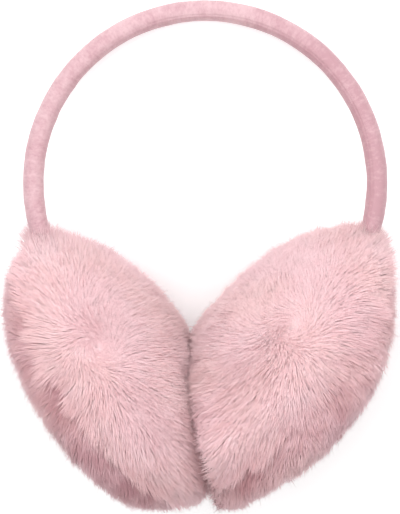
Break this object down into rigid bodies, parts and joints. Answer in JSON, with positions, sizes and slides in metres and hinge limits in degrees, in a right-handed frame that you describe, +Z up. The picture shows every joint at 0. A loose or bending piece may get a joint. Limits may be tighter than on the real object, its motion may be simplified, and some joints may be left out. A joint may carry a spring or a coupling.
{
  "type": "fur earmuffs",
  "caption": "Fur earmuffs lying on their back: an arched padded velvet headband whose ends each carry a thick stuffed fur pad, sewn from an ear-side and an outer panel.",
  "frame": {"origin": "middle of the underside of the bounding box, on the surface that the earmuffs lie on", "axes": "+X across the head, +Y from the pads towards the crown of the headband, +Z up from the surface"},
  "size_m": [0.1614, 0.1904, 0.1113],
  "materials": {
    "velvet": "short-pile velvet, dusty pink",
    "ear_side_fur": "long soft fur, pale pink",
    "outer_side_fur": "long soft fur, pale pink, a little deeper"
  },
  "bodies": {
    "root": {"headband": "velvet", "left_pad_ear_side": "ear_side_fur", "left_pad_outer_side": "outer_side_fur", "right_pad_ear_side": "ear_side_fur", "right_pad_outer_side": "outer_side_fur"}
  },
  "joints": []
}
